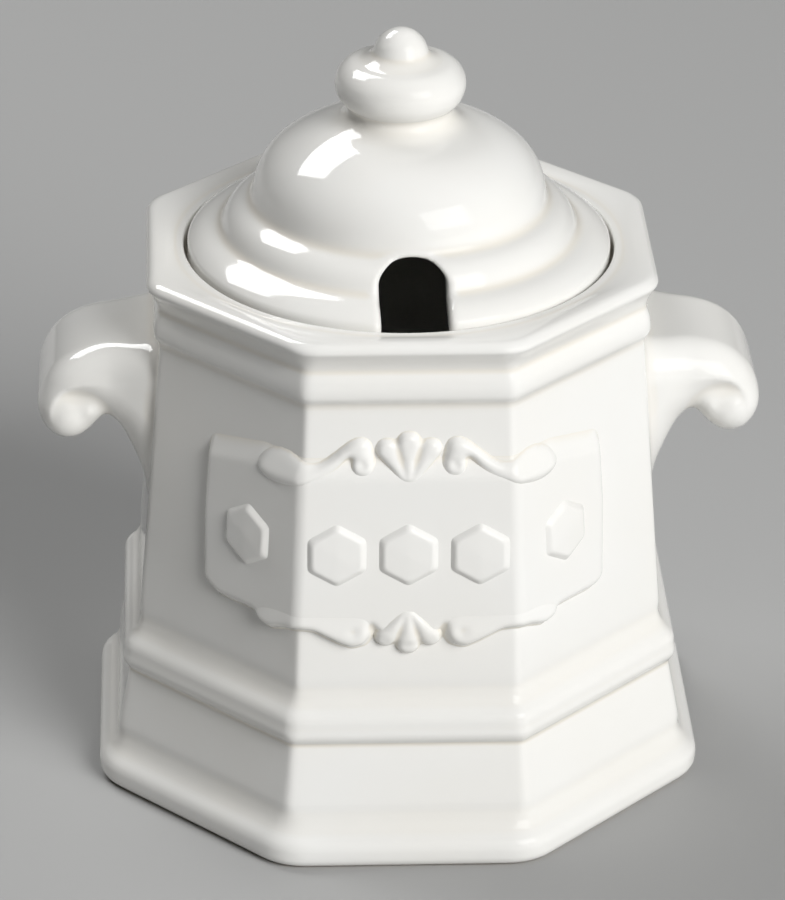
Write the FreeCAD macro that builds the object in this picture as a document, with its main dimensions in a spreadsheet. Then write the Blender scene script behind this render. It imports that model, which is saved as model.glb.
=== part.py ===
import FreeCAD, Part
import math
import os
import re
import Sketcher

# Honey pot: an octagonal glazed stoneware jar with two scroll handles, an embossed plaque
# and a round domed lid that lifts off. Millimetres, Z up, the plaque faces -Y.
# The origin is on the table, under the middle of the pot.

doc = FreeCAD.newDocument("honey_pot")
sheet = doc.addObject("Spreadsheet::Sheet", "sizes")

# Named sizes. An apothem is half the width across the flats of the octagon.
SIZES = {
    # Pot wall, from the straight wall outwards to the foot
    "wall_top_apothem": 41.2,
    "wall_spread": 4.0,
    "wall_rise": 49.0,
    "lip_overhang": 2.8,
    "lip_flare_rise": 7.7,
    "lip_rise": 3.2,
    "groove_depth": 0.9,
    "base_wall_spread": 2.2,
    "base_wall_rise": 11.1,
    "base_overhang": 3.4,
    "base_flare_rise": 8.0,
    "base_lip_rise": 2.6,
    "foot_inset": 1.2,
    # Band and rim above the wall
    "band_overhang": 0.9,
    "band_rise": 2.3,
    "crease_depth": 0.85,
    "crease_rise": 4.9,
    "rim_overhang": 2.2,
    "rim_flare_rise": 4.2,
    "rim_round": 1.5,
    # Curve of each moulding: arc radius over chord
    "quarter_share": 0.72,
    "lip_turn_share": 0.85,
    "flare_turn_share": 0.95,
    "lip_split_share": 0.36,
    # Hollow of the pot
    "wall_thickness": 4.4,
    "floor_thickness": 5.0,
    "cavity_round": 6.0,
    "ledge_thickness": 4.0,
    "rim_land": 5.05,
    "gallery_depth": 2.9,
    "seat_width": 3.6,
    "foot_ring_width": 5.5,
    "foot_recess": 1.5,
    # Lid
    "lid_clearance": 2.1,
    "lid_edge": 3.0,
    "lid_rim_width": 4.0,
    "lid_wall": 3.2,
    "flange_width": 5.9,
    "flange_rise": 2.6,
    "ring_width": 5.2,
    "ring_rise": 5.0,
    "dome_width": 13.0,
    "dome_rise": 13.6,
    "neck_width": 3.6,
    "neck_rise": 3.0,
    "flange_turn_share": 1.2,
    "ring_turn_share": 0.75,
    "dome_turn_share": 0.755,
    "neck_turn_share": 0.9,
    "lid_turn": 2.0,
    "slot_width": 11.3,
    "slot_rise": 10.5,
    # Knob
    "knob_radius": 10.7,
    "knob_side_rise": 6.2,
    "knob_shoulder_rise": 1.6,
    "ball_neck_radius": 4.7,
    "ball_radius": 4.95,
    "ball_rise": 2.2,
    "ball_cap_rise": 4.3,
    "knob_side_share": 0.835,
    "knob_shoulder_share": 0.66,
    "ball_side_share": 2.0,
    # Handles
    "handle_reach": 20.7,
    "handle_height": 28.0,
    "handle_drop": 1.6,
    "handle_width": 23.0,
    "handle_edge_round": 4.0,
    "handle_corner_round": 6.0,
    # Plaque and its ornament
    "plaque_half_width": 32.8,
    "plaque_height": 28.0,
    "plaque_lift": 10.5,
    "plaque_rise": 1.1,
    "ornament_rise": 2.1,
    "cell_rise": 0.9,
    "cell_width": 10.6,
    "cell_pitch": 11.6,
    "cell_lift": 13.5,
    "fan_length": 7.5,
    # All cutting solids run past what they cut by this much
    "overrun": 1.0,
    "facet_angle": 45.0,
}

for row, (alias, size) in enumerate(SIZES.items(), start=1):
    sheet.set(f"A{row}", alias)
    sheet.set(f"B{row}", str(size))
    sheet.setAlias(f"B{row}", alias)
doc.recompute()


def bound(text):
    """The expression that reads each named size from the sheet."""
    return re.sub(r"[a-z_]+", lambda m: "sizes." + m[0] if m[0] in SIZES else m[0], text)


def measure(text):
    """The number that an expression gives now, to place a sketch before it is solved."""
    return float(sheet.evalExpression(bound(text)))


# Places along the pot, written in named sizes
WALL_FOOT = "(wall_top_apothem + wall_spread)"
LIP = f"({WALL_FOOT} + lip_overhang)"
GROOVE = f"({LIP} - groove_depth)"
BASE_WALL = f"({GROOVE} + base_wall_spread)"
BASE = f"({BASE_WALL} + base_overhang)"
FOOT = f"({BASE} - foot_inset)"
BAND = "(wall_top_apothem + band_overhang)"
CREASE = f"({BAND} - crease_depth)"
RIM = f"({CREASE} + rim_overhang)"
BASE_FLARE_Z = "(base_lip_rise + base_flare_rise)"
GROOVE_Z = f"({BASE_FLARE_Z} + base_wall_rise)"
LIP_Z = f"({GROOVE_Z} + lip_rise)"
WALL_FOOT_Z = f"({LIP_Z} + lip_flare_rise)"
WALL_TOP_Z = f"({WALL_FOOT_Z} + wall_rise)"
BAND_Z = f"({WALL_TOP_Z} + band_rise)"
CREASE_Z = f"({BAND_Z} + crease_rise)"
RIM_Z = f"({CREASE_Z} + rim_flare_rise)"
POT_TOP_Z = f"({RIM_Z} + rim_round)"
SEAT_Z = f"({POT_TOP_Z} - gallery_depth)"
CAVITY_TOP_Z = f"({SEAT_Z} - ledge_thickness)"
GALLERY_RADIUS = f"({RIM} - rim_land)"
LID_RADIUS = f"({GALLERY_RADIUS} - lid_clearance)"
MOUTH_RADIUS = f"({LID_RADIUS} - seat_width)"


def draw(sketch, points, turns):
    """A closed outline. points are (x, y) expressions; turns[i] bends the side that starts at
    point i: (share, bulge), the arc's radius over its chord and the side it bulges to,
    +1 for the right of the way of travel and -1 for the left."""
    places = [FreeCAD.Vector(measure(x), measure(y), 0) for x, y in points]
    count = len(points)
    first = sketch.GeometryCount
    starts = []
    ends = []
    for i in range(count):
        a = places[i]
        b = places[(i + 1) % count]
        if i not in turns:
            sketch.addGeometry(Part.LineSegment(a, b))
            starts.append((first + i, 1))
            ends.append((first + i, 2))
            continue
        share, bulge = turns[i]
        chord = b - a
        radius = chord.Length * measure(share)
        across = FreeCAD.Vector(chord.y, -chord.x, 0).normalize() * bulge
        middle = (a + b) * 0.5
        centre = middle - across * math.sqrt(max(radius**2 - chord.Length**2 / 4, 0))
        crown = centre + across * radius
        sketch.addGeometry(Part.ArcOfCircle(a, crown, b) if bulge > 0 else Part.ArcOfCircle(b, crown, a))
        starts.append((first + i, 1 if bulge > 0 else 2))
        ends.append((first + i, 2 if bulge > 0 else 1))
    for i in range(count):
        j = (i + 1) % count
        sketch.addConstraint(Sketcher.Constraint("Coincident", *ends[i], *starts[j]))
    for i, (x, y) in enumerate(points):
        across = ("DistanceX", x, places[i].x, -2)
        upwards = ("DistanceY", y, places[i].y, -1)
        for kind, text, place, axis in (across, upwards):
            if text == "0":
                sketch.addConstraint(Sketcher.Constraint("PointOnObject", *starts[i], axis))
                continue
            forward = place > 0
            ends_of_size = (-1, 1, *starts[i]) if forward else (*starts[i], -1, 1)
            index = sketch.addConstraint(Sketcher.Constraint(kind, *ends_of_size, abs(place)))
            sketch.setExpression(f"Constraints[{index}]", bound(text if forward else f"-({text})"))
    for i, (share, bulge) in turns.items():
        (x0, y0), (x1, y1) = points[i], points[(i + 1) % count]
        text = f"hypot({x1} - ({x0}); {y1} - ({y0})) * {share}"
        index = sketch.addConstraint(Sketcher.Constraint("Radius", first + i, measure(text)))
        sketch.setExpression(f"Constraints[{index}]", bound(text))


def both_sides(points, turns):
    """The right half of an outline, lowest point first, completed by its mirror image."""
    count = len(points)
    mirrored = [(f"-({x})", y) for x, y in reversed(points)]
    left_turns = {2 * count - 2 - i: turn for i, turn in turns.items()}
    return points + mirrored, {**turns, **left_turns}


def upright_sketch(name, turn):
    """A sketch on the upright plane through the axis, turned about it from the XZ plane."""
    sketch = doc.addObject("Sketcher::SketchObject", name)
    upright = FreeCAD.Rotation(FreeCAD.Vector(1, 0, 0), 90)
    turned = FreeCAD.Rotation(FreeCAD.Vector(0, 0, 1), turn)
    sketch.Placement = FreeCAD.Placement(FreeCAD.Vector(0, 0, 0), turned * upright)
    return sketch


def extrude(name, sketch, length, symmetric=False):
    """A sketch run along its own normal."""
    prism = doc.addObject("Part::Extrusion", name)
    prism.Base = sketch
    prism.DirMode = "Normal"
    prism.Solid = True
    prism.Symmetric = symmetric
    prism.setExpression("LengthFwd", bound(length))
    return prism


def octagonal(name, points, turns, reach):
    """A moulded octagon: what four prisms of one profile, an eighth of a turn apart, share."""
    outline, bends = both_sides(points, turns)
    prisms = []
    for step in range(4):
        sketch = upright_sketch(f"{name}_profile_{step}", step * SIZES["facet_angle"])
        draw(sketch, outline, bends)
        prisms.append(extrude(f"{name}_prism_{step}", sketch, f"2 * ({reach} + overrun)", symmetric=True))
    common = doc.addObject("Part::MultiCommon", name)
    common.Shapes = prisms
    return common


def cylinder(name, radius, low, high):
    """A round cutter on the axis between two heights."""
    solid = doc.addObject("Part::Cylinder", name)
    solid.setExpression("Radius", bound(radius))
    solid.setExpression("Height", bound(f"{high} - ({low})"))
    solid.setExpression("Placement.Base.z", bound(low))
    return solid


def boolean(kind, name, base, tool):
    """The cut or the common part of two solids."""
    result = doc.addObject(kind, name)
    result.Base = base
    result.Tool = tool
    return result


# Pot: moulded outside, hollow inside, a round mouth and a gallery that takes the lid
pot_outside = octagonal(
    "pot_outside",
    [
        (FOOT, "0"),
        (BASE, "base_lip_rise"),
        (f"{BASE} - base_overhang * lip_split_share", "base_lip_rise + base_flare_rise * lip_split_share"),
        (BASE_WALL, BASE_FLARE_Z),
        (GROOVE, GROOVE_Z),
        (LIP, LIP_Z),
        (f"{LIP} - lip_overhang * lip_split_share", f"{LIP_Z} + lip_flare_rise * lip_split_share"),
        (WALL_FOOT, WALL_FOOT_Z),
        ("wall_top_apothem", WALL_TOP_Z),
        (BAND, BAND_Z),
        (CREASE, CREASE_Z),
        (RIM, RIM_Z),
        (f"{RIM} - rim_round", POT_TOP_Z),
    ],
    {
        0: ("quarter_share", 1),
        1: ("lip_turn_share", 1),
        2: ("flare_turn_share", -1),
        4: ("quarter_share", 1),
        5: ("lip_turn_share", 1),
        6: ("flare_turn_share", -1),
        8: ("flare_turn_share", -1),
        10: ("flare_turn_share", -1),
        11: ("quarter_share", 1),
    },
    BASE,
)
cavity = octagonal(
    "cavity",
    [
        (f"{BASE_WALL} - wall_thickness - cavity_round", "floor_thickness"),
        (f"{BASE_WALL} - wall_thickness", "floor_thickness + cavity_round"),
        (f"{WALL_FOOT} - wall_thickness", WALL_FOOT_Z),
        ("wall_top_apothem - wall_thickness", WALL_TOP_Z),
        ("wall_top_apothem - wall_thickness", CAVITY_TOP_Z),
    ],
    {0: ("quarter_share", 1)},
    BASE,
)
mouth = cylinder("mouth", MOUTH_RADIUS, f"{CAVITY_TOP_Z} - overrun", f"{SEAT_Z} + overrun")
gallery = cylinder("gallery", GALLERY_RADIUS, SEAT_Z, f"{POT_TOP_Z} + overrun")
foot_hollow = cylinder("foot_hollow", f"{FOOT} - foot_ring_width", "-overrun", "foot_recess")
hollows = doc.addObject("Part::MultiFuse", "hollows")
hollows.Shapes = [cavity, mouth, gallery, foot_hollow]
pot_vessel = boolean("Part::Cut", "pot_vessel", pot_outside, hollows)


# Handles: a scroll seen from the front. Shares of the reach outwards from the top of the wall,
# and of the height downwards from the top of the handle.
HANDLE_SHARES = [
    (0.30, 0.015),
    (1.00, 0.43),
    (0.713, 0.62),
    (0.47, 0.47),
    (0.405, 0.485),
    (0.09, 1.0),
]
HANDLE_TURN_SHARES = {1: (0.80, -1), 2: (0.72, -1), 3: (0.75, -1), 4: (0.62, 1), 5: (1.6, 1)}
HANDLE_TOP_Z = f"({WALL_TOP_Z} - handle_drop)"
HANDLE_FOOT_Z = f"({HANDLE_TOP_Z} - handle_height)"
HANDLE_END = "(wall_top_apothem + handle_reach)"
HANDLE_SIDE = "(handle_width / 2)"
CORNER_SHARE = "1 / sqrt(2)"


# Envelope of both handles: rounded corners seen from above, rounded edges seen from the side
plan_sketch = doc.addObject("Sketcher::SketchObject", "handle_plan_outline")
plan_sketch.setExpression("Placement.Base.z", bound(f"{HANDLE_FOOT_Z} - overrun"))
draw(
    plan_sketch,
    *both_sides(
        [
            (f"{HANDLE_END} - handle_corner_round", f"-{HANDLE_SIDE}"),
            (HANDLE_END, f"handle_corner_round - {HANDLE_SIDE}"),
            (HANDLE_END, f"{HANDLE_SIDE} - handle_corner_round"),
            (f"{HANDLE_END} - handle_corner_round", HANDLE_SIDE),
        ],
        {0: (CORNER_SHARE, 1), 2: (CORNER_SHARE, 1)},
    ),
)
handle_plan = extrude("handle_plan", plan_sketch, "handle_height + 2 * overrun")
end_sketch = upright_sketch("handle_end_outline", 90)
draw(
    end_sketch,
    *both_sides(
        [
            (HANDLE_SIDE, f"{HANDLE_FOOT_Z} - overrun"),
            (HANDLE_SIDE, f"{HANDLE_TOP_Z} - handle_edge_round"),
            (f"{HANDLE_SIDE} - handle_edge_round", HANDLE_TOP_Z),
        ],
        {1: (CORNER_SHARE, 1)},
    ),
)
handle_end = extrude("handle_end", end_sketch, f"2 * ({HANDLE_END} + overrun)", symmetric=True)


def handle(name, side):
    """A scroll lug inside the envelope, its root cut to the pot's wall. side is 1 for +X and
    -1 for -X."""
    inside = "(wall_top_apothem - wall_thickness)"
    points = [(inside, HANDLE_TOP_Z)]
    for out, down in HANDLE_SHARES:
        x = f"wall_top_apothem + handle_reach * {out}"
        z = f"{HANDLE_TOP_Z} - handle_height * {down}"
        points.append((x, z))
    points.append((inside, HANDLE_FOOT_Z))
    if side < 0:
        points = [(f"-({x})", z) for x, z in points]
    turns = {i: (str(share), bulge * side) for i, (share, bulge) in HANDLE_TURN_SHARES.items()}
    sketch = upright_sketch(f"{name}_outline", 0)
    draw(sketch, points, turns)
    scroll_prism = extrude(f"{name}_prism", sketch, "handle_width", symmetric=True)
    blank = doc.addObject("Part::MultiCommon", f"{name}_blank")
    blank.Shapes = [scroll_prism, handle_plan, handle_end]
    return boolean("Part::Cut", name, blank, pot_outside)


right_handle = handle("right_handle", 1)
left_handle = handle("left_handle", -1)


# Ornament on the front three facets: shells of the straight wall, a little larger each time
def wall_shell(name, rise):
    """The straight wall as a solid octagon, grown outwards by a rise."""
    return octagonal(
        name,
        [(f"{WALL_FOOT} + {rise}", WALL_FOOT_Z), (f"wall_top_apothem + {rise}", WALL_TOP_Z)],
        {},
        BASE,
    )


def front_prism(name, outlines):
    """Outlines seen from the front, run forwards from the axis through the front wall."""
    sketch = upright_sketch(f"{name}_outline", 0)
    for points, turns in outlines:
        draw(sketch, points, turns)
    return extrude(f"{name}_prism", sketch, f"{BASE} + overrun")


PLAQUE_Z = f"({WALL_FOOT_Z} + plaque_lift)"


def on_plaque(shares, side=1):
    """Outline points given as shares of the plaque's half width and of its height."""
    points = []
    for across, up in shares:
        points.append((f"plaque_half_width * {across * side}", f"{PLAQUE_Z} + plaque_height * {up}"))
    return points


# Plaque: a plate wrapped round the front three facets, with a waved lower border
PLAQUE_SHARES = [
    (0.25, -0.09),
    (0.70, -0.06),
    (0.755, -0.015),
    (0.93, 0.0),
    (1.0, 0.08),
    (0.975, 0.93),
    (0.93, 1.0),
    (0.74, 0.985),
    (0.50, 0.95),
    (0.30, 1.08),
]
PLAQUE_TURN_SHARES = {0: ("1.1", -1), 3: ("0.72", 1), 5: ("0.72", 1), 7: ("1.2", -1)}
plaque_shell = wall_shell("plaque_shell", "plaque_rise")
plaque_outline = both_sides(on_plaque(PLAQUE_SHARES), PLAQUE_TURN_SHARES)
plaque_prism = front_prism("plaque", [plaque_outline])
plaque_blank = boolean("Part::Common", "plaque_blank", plaque_prism, plaque_shell)
label_plaque = boolean("Part::Cut", "label_plaque", plaque_blank, pot_outside)

# Cells: five raised hexagons in a row, three on the front facet and one on each facet beside it
CELL_POINT_SHARE = 1 / math.sqrt(3)
SIDE_CELL_SHARE = 0.79


def cell(centre, half_width):
    """One hexagon with a point up and a point down."""
    middle = f"({PLAQUE_Z} + cell_lift)"
    point = f"cell_width * {CELL_POINT_SHARE}"
    corners = [(0, -1), (1, -0.5), (1, 0.5), (0, 1), (-1, 0.5), (-1, -0.5)]
    points = []
    for across, up in corners:
        points.append((f"{centre} + {half_width} * {across}", f"{middle} + {point} * {up}"))
    return points, {}


cells = [cell(f"cell_pitch * {step}", "cell_width / 2") for step in (-1, 1)]
cells.append(cell("0", "cell_width / 2"))
for side in (-1, 1):
    centre = f"plaque_half_width * {SIDE_CELL_SHARE * side}"
    cells.append(cell(centre, "cell_width / 2 * cos(facet_angle)"))
cell_shell = wall_shell("cell_shell", "(plaque_rise + cell_rise)")
cell_blanks = boolean("Part::Common", "cell_blanks", front_prism("cells", cells), cell_shell)
plaque_cells = boolean("Part::Cut", "plaque_cells", cell_blanks, plaque_shell)

# Crest and apron: scrolled leaves and fans on the upper and the lower border of the plaque
ornament_shell = wall_shell("ornament_shell", "ornament_rise")
backing = doc.addObject("Part::MultiFuse", "backing")
backing.Shapes = [pot_outside, label_plaque]


def ornament(name, points, turns):
    """One raised ornament, seated on the wall and on the plaque."""
    prism = front_prism(name, [(points, turns)])
    blank = boolean("Part::Common", f"{name}_blank", prism, ornament_shell)
    return boolean("Part::Cut", name, blank, backing)


CREST_SHARES = [
    (0.180, 1.064),
    (0.229, 0.996),
    (0.293, 1.050),
    (0.402, 1.014),
    (0.530, 0.914),
    (0.671, 0.918),
    (0.744, 1.014),
    (0.598, 1.021),
    (0.463, 1.100),
    (0.311, 1.204),
    (0.207, 1.168),
]
CREST_TURN_SHARES = {
    0: (0.75, 1),
    1: (0.75, 1),
    4: (0.85, 1),
    5: (0.85, 1),
    6: (0.9, -1),
    9: (0.75, 1),
    10: (1.1, 1),
}
APRON_SHARES = [
    (0.183, -0.054),
    (0.256, -0.139),
    (0.372, -0.089),
    (0.488, -0.043),
    (0.707, -0.068),
    (0.573, 0.014),
    (0.409, 0.029),
    (0.262, 0.032),
]
APRON_TURN_SHARES = {0: (0.75, 1), 3: (1.2, -1), 4: (1.2, 1), 6: (1.2, -1), 7: (0.75, 1)}


def scroll(name, shares, turn_shares, side):
    """A scrolled leaf on the right of the middle, or its mirror image on the left."""
    turns = {i: (str(share), bulge * side) for i, (share, bulge) in turn_shares.items()}
    return ornament(name, on_plaque(shares, side), turns)


def fan(name, hinge_share, lobes, lobe_angle, upwards):
    """A fan of rounded lobes about a hinge point on the middle line."""
    hinge = f"({PLAQUE_Z} + plaque_height * {hinge_share})"
    edge_share = 0.9
    side_drop_share = 0.12
    lobe_share = "0.58"
    points = [("0", hinge)]
    turns = {}
    for step in range(lobes + 1):
        place = step - lobes / 2
        reach = edge_share - side_drop_share * max(abs(place) - 1, 0)
        angle = math.radians(lobe_angle * place)
        x = f"fan_length * {reach * math.sin(angle)}"
        z = f"{hinge} + fan_length * {reach * math.cos(angle) * upwards}"
        points.append((x, z))
        if step < lobes:
            turns[step + 1] = (lobe_share, -upwards)
    return ornament(name, points, turns)


ornaments = [
    fan("crest_fan", hinge_share=0.975, lobes=5, lobe_angle=24, upwards=1),
    fan("apron_fan", hinge_share=0.086, lobes=3, lobe_angle=30, upwards=-1),
    scroll("crest_scroll_right", CREST_SHARES, CREST_TURN_SHARES, 1),
    scroll("crest_scroll_left", CREST_SHARES, CREST_TURN_SHARES, -1),
    scroll("apron_scroll_right", APRON_SHARES, APRON_TURN_SHARES, 1),
    scroll("apron_scroll_left", APRON_SHARES, APRON_TURN_SHARES, -1),
]

# Lid: three rounded steps and a hollow neck curve up to a flat seat for the knob, hollow below,
# with a slot at the front
FLANGE_Z = f"({SEAT_Z} + lid_edge)"
RING = f"({LID_RADIUS} - flange_width)"
RING_Z = f"({FLANGE_Z} + flange_rise)"
DOME = f"({RING} - ring_width)"
DOME_Z = f"({RING_Z} + ring_rise)"
DOME_TOP = f"({DOME} - dome_width)"
DOME_TOP_Z = f"({DOME_Z} + dome_rise)"
NECK = f"({DOME_TOP} - neck_width)"
NECK_Z = f"({DOME_TOP_Z} + neck_rise)"


def cap_share(across, drop):
    """The share of an arc that meets the axis square, from its width and its drop there."""
    return f"hypot({across}; {drop}) / (2 * ({drop}))"


def plane_sketch(body, name, role):
    """A sketch on one of a body's own origin planes."""
    sketch = body.newObject("Sketcher::SketchObject", name)
    plane = [p for p in body.Origin.OriginFeatures if p.Role == role][0]
    sketch.AttachmentSupport = (plane, [""])
    sketch.MapMode = "FlatFace"
    return sketch


def turned(name, points, turns):
    """A body made by turning an outline round the axis."""
    body = doc.addObject("PartDesign::Body", name)
    sketch = plane_sketch(body, f"{name}_profile", "XZ_Plane")
    draw(sketch, points, turns)
    revolution = body.newObject("PartDesign::Revolution", f"{name}_turned")
    revolution.Profile = sketch
    revolution.ReferenceAxis = (sketch, ["V_Axis"])
    return body


lid_dome = turned(
    "lid_dome",
    [
        (LID_RADIUS, SEAT_Z),
        (LID_RADIUS, FLANGE_Z),
        (RING, RING_Z),
        (DOME, DOME_Z),
        (DOME_TOP, DOME_TOP_Z),
        (NECK, NECK_Z),
        ("0", NECK_Z),
        ("0", f"{DOME_TOP_Z} - lid_wall"),
        (DOME_TOP, f"{DOME_TOP_Z} - lid_wall"),
        (f"{DOME} - lid_wall", DOME_Z),
        (f"{RING} - lid_wall", f"{RING_Z} - lid_wall"),
        (f"{LID_RADIUS} - lid_rim_width", SEAT_Z),
    ],
    {
        1: ("flange_turn_share", 1),
        2: ("ring_turn_share", 1),
        3: ("dome_turn_share", 1),
        4: ("neck_turn_share", -1),
        8: ("dome_turn_share", -1),
    },
)
slot_sketch = plane_sketch(lid_dome, "slot_outline", "XZ_Plane")
SPRING_Z = f"{SEAT_Z} + slot_rise - slot_width / 2"
draw(
    slot_sketch,
    [
        ("-(slot_width / 2)", f"{SEAT_Z} - overrun"),
        ("slot_width / 2", f"{SEAT_Z} - overrun"),
        ("slot_width / 2", SPRING_Z),
        ("0", f"{SEAT_Z} + slot_rise"),
        ("-(slot_width / 2)", SPRING_Z),
    ],
    {2: (CORNER_SHARE, 1), 3: (CORNER_SHARE, 1)},
)
slot = lid_dome.newObject("PartDesign::Pocket", "slot")
slot.Profile = slot_sketch
slot.Reversed = True
slot.setExpression("Length", bound(f"{LID_RADIUS} + overrun"))
lid_dome.Placement = FreeCAD.Placement(
    FreeCAD.Vector(0, 0, 0), FreeCAD.Rotation(FreeCAD.Vector(0, 0, 1), SIZES["lid_turn"])
)
lid_dome.setExpression("Placement.Rotation.Angle", bound("lid_turn"))

# Knob: a flattened bulb with a small ball on top
KNOB_Z = f"({NECK_Z} + knob_side_rise)"
SHOULDER_Z = f"({KNOB_Z} + knob_shoulder_rise)"
BALL_Z = f"({SHOULDER_Z} + ball_rise)"
lid_knob = turned(
    "lid_knob",
    [
        ("0", NECK_Z),
        (NECK, NECK_Z),
        ("knob_radius", KNOB_Z),
        ("ball_neck_radius", SHOULDER_Z),
        ("ball_radius", BALL_Z),
        ("0", f"{BALL_Z} + ball_cap_rise"),
    ],
    {
        1: ("knob_side_share", 1),
        2: ("knob_shoulder_share", 1),
        3: ("ball_side_share", 1),
        4: (cap_share("ball_radius", "ball_cap_rise"), 1),
    },
)

doc.recompute()

faults = [o.Name for o in doc.Objects if "Invalid" in o.State or "Error" in o.State]
if faults:
    raise RuntimeError(f"not built: {faults}")

pieces = [pot_vessel, left_handle, right_handle, label_plaque, plaque_cells, *ornaments, lid_dome, lid_knob]
for piece in pieces:
    piece.Label = piece.Name
    if piece.Shape.isNull() or not piece.Shape.isValid():
        raise RuntimeError(f"bad shape: {piece.Label}")

os.makedirs("parts", exist_ok=True)
for piece in pieces:
    piece.Shape.exportStep(f"parts/{piece.Label}.step")
    box = piece.Shape.BoundBox
    print(f"{piece.Label}: {len(piece.Shape.Solids)} solid, {piece.Shape.Volume:.0f} mm3,",
          f"{box.XLength:.1f} x {box.YLength:.1f} x {box.ZLength:.1f} mm, top {box.ZMax:.1f}")
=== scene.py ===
# %% [markdown]
# # A glazed honey pot
#
# The real pot is cast: liquid clay sets against a plaster mould, handles and knob are joined on, and
# a white glaze melts over everything in the kiln. Molten glaze pulls itself smooth, so no edge is
# sharp, hollows fill up a little and ridges come out round. Most of this lesson is about drawing a
# shape the way a potter would and then letting a simple rule soften it like glaze.
#
# The first cell loads the measured model. Its pieces give every new piece its place.

# %% Load the measured model
import math
import bmesh
import bpy
import numpy as np
from mathutils import Matrix, Vector


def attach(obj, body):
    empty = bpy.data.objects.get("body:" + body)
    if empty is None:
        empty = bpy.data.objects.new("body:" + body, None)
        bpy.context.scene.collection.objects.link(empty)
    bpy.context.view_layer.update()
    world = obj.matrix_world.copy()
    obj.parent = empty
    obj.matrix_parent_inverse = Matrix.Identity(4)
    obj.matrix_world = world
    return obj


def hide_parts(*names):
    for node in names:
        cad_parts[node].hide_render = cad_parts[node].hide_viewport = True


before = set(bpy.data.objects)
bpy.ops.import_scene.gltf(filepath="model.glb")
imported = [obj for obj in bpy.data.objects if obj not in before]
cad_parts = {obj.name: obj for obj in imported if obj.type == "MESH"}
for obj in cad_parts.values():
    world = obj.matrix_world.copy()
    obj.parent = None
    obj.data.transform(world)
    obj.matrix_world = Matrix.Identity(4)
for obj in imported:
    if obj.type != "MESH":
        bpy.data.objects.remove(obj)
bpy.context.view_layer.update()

MM = 0.001

# %% [markdown]
# ## Drawing a profile and letting the glaze soften it
#
# A turned or moulded shape starts as a line on paper. Here a line is a short list of points, and a
# stretch between two points may be bent into an arc: the first number is the arc's radius as a share
# of the stretch, the second says which side it bulges to. Softening is a moving average along the
# line. It rounds a sharp corner and leaves a long straight stretch alone, just as glaze does.

# %% Lines, arcs and softening
def drawn_line(points, bends, step=0.12):
    pieces = []
    for place in range(len(points) - 1):
        start = np.array(points[place], float)
        end = np.array(points[place + 1], float)
        chord = end[:2] - start[:2]
        length = np.hypot(*chord)
        travel = np.linspace(0, 1, max(int(length / step), 2), endpoint=False)
        rows = start + (end - start) * travel[:, None]
        if place in bends:
            share, bulge = bends[place]
            half_angle = np.arcsin(0.5 / share)
            across = np.array([chord[1], -chord[0]]) / length * bulge
            radius = share * length
            centre = (start[:2] + end[:2]) / 2 - across * radius * np.cos(half_angle)
            angle = (2 * travel - 1) * half_angle
            rows[:, :2] = centre + radius * (
                np.outer(np.sin(angle), chord / length) + np.outer(np.cos(angle), across)
            )
        pieces.append(rows)
    pieces.append(np.array([points[-1]], float))
    return np.vstack(pieces)


def evenly_spaced(line, step=0.12):
    gaps = np.hypot(*np.diff(line[:, :2], axis=0).T)
    along = np.concatenate([[0], np.cumsum(gaps)])
    stops = np.linspace(0, along[-1], max(int(along[-1] / step), 2) + 1)
    return np.stack([np.interp(stops, along, column) for column in line.T], 1)


# %% Soften a line and thin it out
def bell_weights(width):
    reach = np.arange(-int(3 * width) - 1, int(3 * width) + 2)
    weights = np.exp(-0.5 * (reach / width) ** 2)
    return weights / weights.sum()


def softened(line, softness, step=0.12):
    even = evenly_spaced(line, step)
    weights = bell_weights(softness / step)
    margin = len(weights) // 2
    before = 2 * even[0] - even[margin:0:-1]
    after = 2 * even[-1] - even[-2:-margin - 2:-1]
    padded = np.vstack([before, even, after])
    return np.stack([np.convolve(column, weights, "valid") for column in padded.T], 1)


def turning(line):
    heading = np.unwrap(np.arctan2(*np.gradient(line[:, :2], axis=0).T[::-1]))
    gaps = np.hypot(*np.gradient(line[:, :2], axis=0).T)
    return np.gradient(heading) / np.maximum(gaps, 1e-6)


def thinned(line, turn=math.radians(5), gap=2.5):
    gaps = np.hypot(*np.diff(line[:, :2], axis=0).T)
    bend = np.abs(turning(line))
    effort = gaps * ((bend[1:] + bend[:-1]) / 2 / turn + 1 / gap)
    total = np.concatenate([[0], np.cumsum(effort)])
    stops = np.linspace(0, total[-1], int(total[-1]) + 2)
    return np.stack([np.interp(stops, total, column) for column in line.T], 1)

# %% [markdown]
# ## A lathe that turns octagons
#
# The pot is an eight-sided form with soft corners, and its mouth, lid seat and foot ring are round.
# One rule covers both: a facet at a given distance from the axis, and a corner radius. When the
# corner radius equals the distance, the octagon is a circle. Geometry Nodes can hold that rule. The
# profile comes in as a row of points; a grid is laid out with one column per direction and one row
# per profile point, and every grid point is moved to its place. Columns crowd towards the corners,
# where the surface bends. Changing the profile or the number of columns remakes the whole pot.

# %% A small kit for building node trees
def new_node(tree, kind, **settings):
    node = tree.nodes.new(kind)
    for name, value in settings.items():
        setattr(node, name, value)
    return node


def feed(tree, socket, value):
    if isinstance(value, bpy.types.NodeSocket):
        tree.links.new(value, socket)
    else:
        socket.default_value = value


def wired(tree, kind, inputs, **settings):
    node = new_node(tree, kind, **settings)
    for name, value in inputs.items():
        feed(tree, node.inputs[name], value)
    return node.outputs


def calculate(tree, operation, *values):
    return wired(tree, "ShaderNodeMath", dict(enumerate(values)), operation=operation)[0]


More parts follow.
